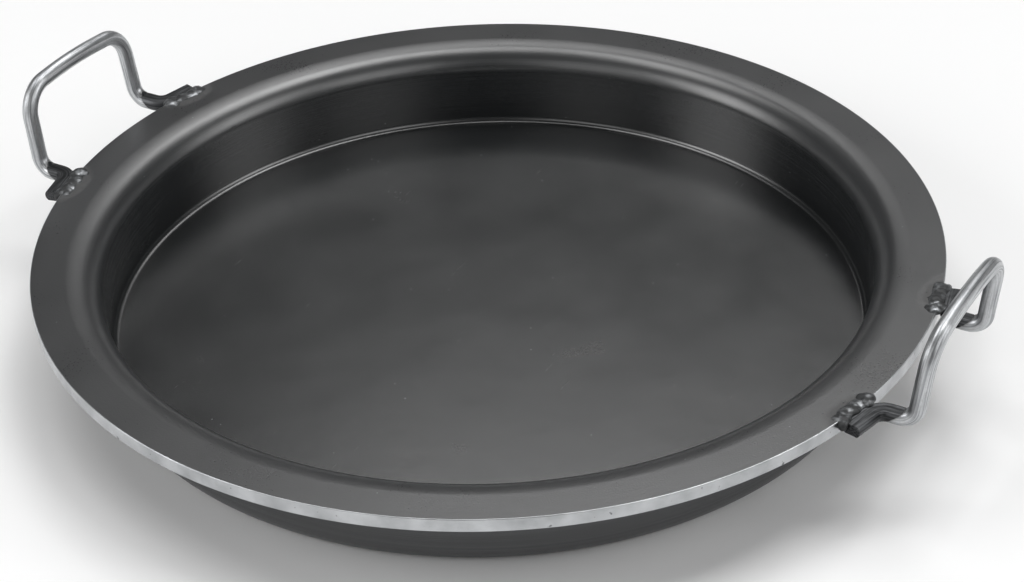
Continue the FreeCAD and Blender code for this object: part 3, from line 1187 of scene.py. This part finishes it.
@dataclass
class Studio:
    """Floor, lights and camera round the pan, in metres and degrees.

    The aim fields are how far the camera points right of and below the middle of the pan's top,
    as shares of the distance, and roll is its lean, with left positive.
    """

    view_azimuth: float = 31.0
    view_elevation: float = 32.33
    view_distance: float = 1.26
    lens_mm: float = 95.8
    sensor_mm: float = 36.0
    aim_right: float = 0.00825
    aim_down: float = 0.02007
    roll: float = -1.97
    floor_radius: float = 5.0
    cove_radius: float = 0.6
    wall_height: float = 0.8
    cove_steps: int = 16
    floor_turns: int = 128
    floor_gap: float = 0.05 * MM
    sky: float = 0.035
    near_clip: float = 0.05

    def build(self, sheet: PanSheet) -> None:
        """Set the floor, the lights, the world and the camera.

        Args:
            sheet: the pan's sheet, which the camera looks at.
        """
        target = Vector((0.0, 0.0, sheet.top))
        self.lay_floor(sheet.base)
        back = self.view_azimuth + 180.0
        # Large far lamps light the floor and the flange; small near ones light the rim and the rods.
        # After the name: azimuth, elevation, distance, width, height and power.
        lights = [
            Softbox("back_softbox", back - 16.0, 47.0, 6.0, 3.6, 1.5, 50.0),
            Softbox("high_right_softbox", back - 44.0, 66.0, 6.0, 3.0, 2.6, 136.0),
            Softbox("high_left_softbox", back + 52.0, 66.0, 6.0, 3.2, 1.8, 76.0),
            Softbox("top_softbox", back, 86.0, 6.0, 1.6, 1.6, 24.0),
            Softbox("right_softbox", back - 100.0, 27.0, 1.9, 0.9, 1.1, 9.2),
            Softbox("left_softbox", back + 100.0, 26.0, 1.9, 0.9, 1.1, 12.5),
            Softbox("front_right_softbox", back - 145.0, 34.0, 1.9, 0.9, 1.1, 5.6),
            Softbox("front_left_softbox", back + 145.0, 32.0, 1.9, 0.9, 1.1, 3.4),
        ]
        for light in lights:
            light.build(target)
        world = bpy.data.worlds.new("studio_air")
        r = Recipe(world)
        air = r.add("Background", {"Color": linear("ffffff"), "Strength": self.sky})
        r.add("OutputWorld", {"Surface": air})
        bpy.context.scene.world = world
        bpy.context.scene.view_settings.view_transform = "Standard"
        self.set_camera(target)

    def lay_floor(self, height: float) -> None:
        """Lay one pale round sheet under the pan, its far edge swept up into a low wall.

        Args:
            height: the level that the pan stands on.
        """
        level = height - self.floor_gap
        shape = bmesh.new()
        middle = shape.verts.new((0.0, 0.0, level))
        foot = shape.verts.new((self.floor_radius, 0.0, level))
        top = shape.verts.new((self.floor_radius, 0.0, level + self.wall_height))
        shape.edges.new((middle, foot))
        shape.edges.new((foot, top))
        round_corner(shape, foot, self.cove_radius, self.cove_steps)
        spin_outline(shape, self.floor_turns, MM)
        shape.normal_update()
        # Faces look up and inwards, towards a place above the floor's middle.
        for face in shape.faces:
            face.smooth = face.calc_center_median().z > level + MM
            if face.normal.z < 0.0 or face.normal.dot(face.calc_center_median() - UP) > 0.0:
                face.normal_flip()
        mesh = bpy.data.meshes.new("studio_floor")
        shape.to_mesh(mesh)
        shape.free()
        mesh.materials.append(PaleFloor().build())
        floor = bpy.data.objects.new("studio_floor", mesh)
        bpy.context.scene.collection.objects.link(floor)

    def set_camera(self, target: Vector) -> None:
        """Stand the camera off the pan and roll it level with the view.

        Args:
            target: point that the camera goes round.
        """
        out = outward(self.view_azimuth, self.view_elevation)
        forward = -out
        right = forward.cross(UP).normalized()
        up = right.cross(forward)
        axis = (forward + right * self.aim_right - up * self.aim_down).normalized()
        right = axis.cross(UP).normalized()
        up = right.cross(axis)
        lean = math.radians(self.roll)
        level = right * math.cos(lean) + up * math.sin(lean)
        upright = up * math.cos(lean) - right * math.sin(lean)
        data = bpy.data.cameras.new("studio_camera")
        data.lens = self.lens_mm
        data.sensor_width = self.sensor_mm
        data.clip_start = self.near_clip
        camera = bpy.data.objects.new("studio_camera", data)
        facing = Matrix((level, upright, -axis)).transposed().to_4x4()
        camera.matrix_world = Matrix.Translation(target + out * self.view_distance) @ facing
        bpy.context.scene.collection.objects.link(camera)
        bpy.context.scene.camera = camera


# ---------------------------------------------------------------- build

def main() -> None:
    """Build the pan, its handles and its welds, then the studio."""
    logging.basicConfig(level=logging.INFO, format="%(name)s: %(message)s")
    sheet = PanSheet()
    pieces = [sheet.build(MillScale().build(sheet), TurnedEdge().build())]
    rod = DrawnRod().build()
    weld = WeldMetal().build()
    tilts_mm = {Side.RIGHT: 0.0, Side.LEFT: 1.5}
    for number, side in enumerate(Side):
        pieces.append(RodHandle(side, tilts_mm[side], rod, sheet).build())
        for foot in Foot:
            seed = FIRST_SEED + len(Foot) * number + int(foot is Foot.REAR)
            pieces.extend(FootWelds(side, foot, weld, sheet, seed).build())
    for piece in pieces:
        LOG.info("%s: %d faces", piece.name, len(piece.data.polygons))
    Studio().build(sheet)


if __name__ == "__main__":
    main()
